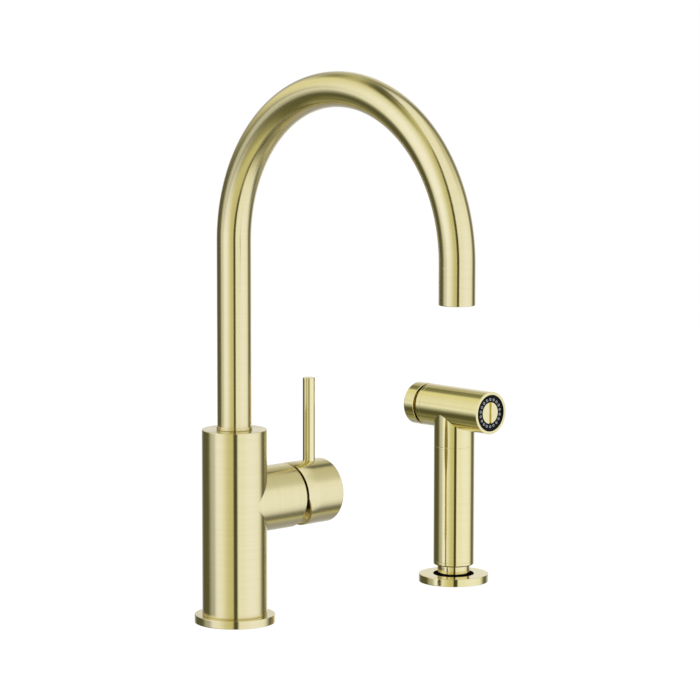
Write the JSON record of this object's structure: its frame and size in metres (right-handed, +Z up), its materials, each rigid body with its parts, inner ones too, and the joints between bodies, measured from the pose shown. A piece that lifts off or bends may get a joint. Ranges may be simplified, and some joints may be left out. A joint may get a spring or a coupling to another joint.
{
  "type": "side spray kitchen faucet",
  "caption": "Deck-mounted kitchen mixer with a swivel gooseneck spout, a pin lever on its side and a separate pull-up side spray in its own holder.",
  "frame": {"origin": "on the mixer column's axis, in the plane of the worktop under the base flange", "axes": "+Z up along the column, +X to the user's right, towards the side handle and the spray, -Y towards the user, the way that the spout and the spray point"},
  "size_m": [0.25, 0.2458, 0.4239],
  "materials": {
    "brushed_gold": "fine brushed, gold coated",
    "raw_brass": "turned",
    "gold_steel": "fine brushed, gold coated",
    "steel": "turned",
    "black_plastic": "fine satin",
    "white_plastic": "moulded",
    "black_rubber": "matte",
    "grey_rubber": "matte",
    "disc_ceramic": "lapped"
  },
  "bodies": {
    "deck_set": {"base_flange": "brushed_gold", "base_gasket": "black_rubber", "mixer_body": "brushed_gold", "supply_tails": "raw_brass", "spray_hose_tail": "raw_brass", "mounting_stud": "steel", "clamp_gasket": "black_rubber", "clamp_plate": "steel", "stud_nut": "raw_brass", "swivel_bush": "white_plastic", "spout_lock_screw": "steel", "diverter_housing": "white_plastic", "cartridge_base": "white_plastic", "port_seals": "black_rubber", "fixed_disc": "disc_ceramic", "cartridge_housing": "white_plastic", "cartridge_nut": "raw_brass", "dome": "brushed_gold", "spray_holder": "brushed_gold", "holder_gasket": "black_rubber", "guide_bush": "black_plastic", "holder_washer": "black_rubber", "holder_nut": "raw_brass"},
    "spout": {"spout_spigot": "brushed_gold", "spout_seals": "black_rubber", "spout_tube": "brushed_gold", "outlet_sleeve": "brushed_gold", "aerator_housing": "brushed_gold", "aerator_insert": "white_plastic", "aerator_washer": "black_rubber"},
    "diverter": {"diverter_piston": "white_plastic", "diverter_spring": "steel"},
    "lever_carrier": {"cartridge_rotor": "white_plastic", "pivot_pin": "steel"},
    "handle": {"handle_cap": "brushed_gold", "lever_rod": "gold_steel", "handle_grub_screw": "steel", "cartridge_stem": "raw_brass"},
    "disc_slider": {"moving_disc": "disc_ceramic", "disc_carrier": "white_plastic"},
    "hose_end": {"hose_connector": "brushed_gold", "connector_seal": "black_rubber"},
    "handset": {"grip_collar": "brushed_gold", "swivel_clip": "steel", "grip_tube": "brushed_gold", "spray_body": "brushed_gold", "water_tube": "white_plastic", "valve_seat": "raw_brass", "rear_ring": "brushed_gold", "flow_disc": "black_plastic", "spray_nozzles": "grey_rubber", "nozzle_plate": "black_plastic", "face_screw": "gold_steel"},
    "spray_button": {"button_cap": "brushed_gold", "button_sleeve": "brushed_gold", "valve_plunger": "raw_brass", "plunger_seals": "black_rubber", "button_spring": "steel"}
  },
  "joints": [
    {"name": "spout_swivel", "type": "hinge", "parent": "deck_set", "child": "spout", "pos_m": [0, 0, 0.1255], "axis": [0, 0, 1], "continuous": true},
    {"name": "diverter_lift", "type": "slide", "parent": "deck_set", "child": "diverter", "axis": [0, 0, 1], "range_m": [0, 0.0022], "stiffness_N_per_m": 100, "springref_m": -0.004, "deforming": ["diverter_spring"]},
    {"name": "lever_turn", "type": "hinge", "parent": "deck_set", "child": "lever_carrier", "pos_m": [0.0368, 0, 0.0775], "axis": [1, 0, 0], "range_deg": [-50, 50]},
    {"name": "lever_tilt", "type": "hinge", "parent": "lever_carrier", "child": "handle", "pos_m": [0.0368, 0, 0.0775], "axis": [0, 1, 0], "range_deg": [0, 22]},
    {"name": "disc_shift", "type": "slide", "parent": "lever_carrier", "child": "disc_slider", "axis": [0, 0, 1], "range_m": [0, 0.0027]},
    {"name": "spray_lift", "type": "slide", "parent": "deck_set", "child": "hose_end", "axis": [0, 0, 1], "range_m": [0, 0.08]},
    {"name": "spray_turn", "type": "hinge", "parent": "hose_end", "child": "handset", "pos_m": [0.2, 0, 0.0116], "axis": [0, 0, 1], "continuous": true},
    {"name": "button_press", "type": "slide", "parent": "handset", "child": "spray_button", "axis": [0, -1, 0], "range_m": [0, 0.002], "stiffness_N_per_m": 600, "springref_m": -0.004, "deforming": ["button_spring"]}
  ],
  "couplings": [
    {"joint": "disc_shift", "follows": "lever_tilt", "m_per_rad": 0.007}
  ]
}
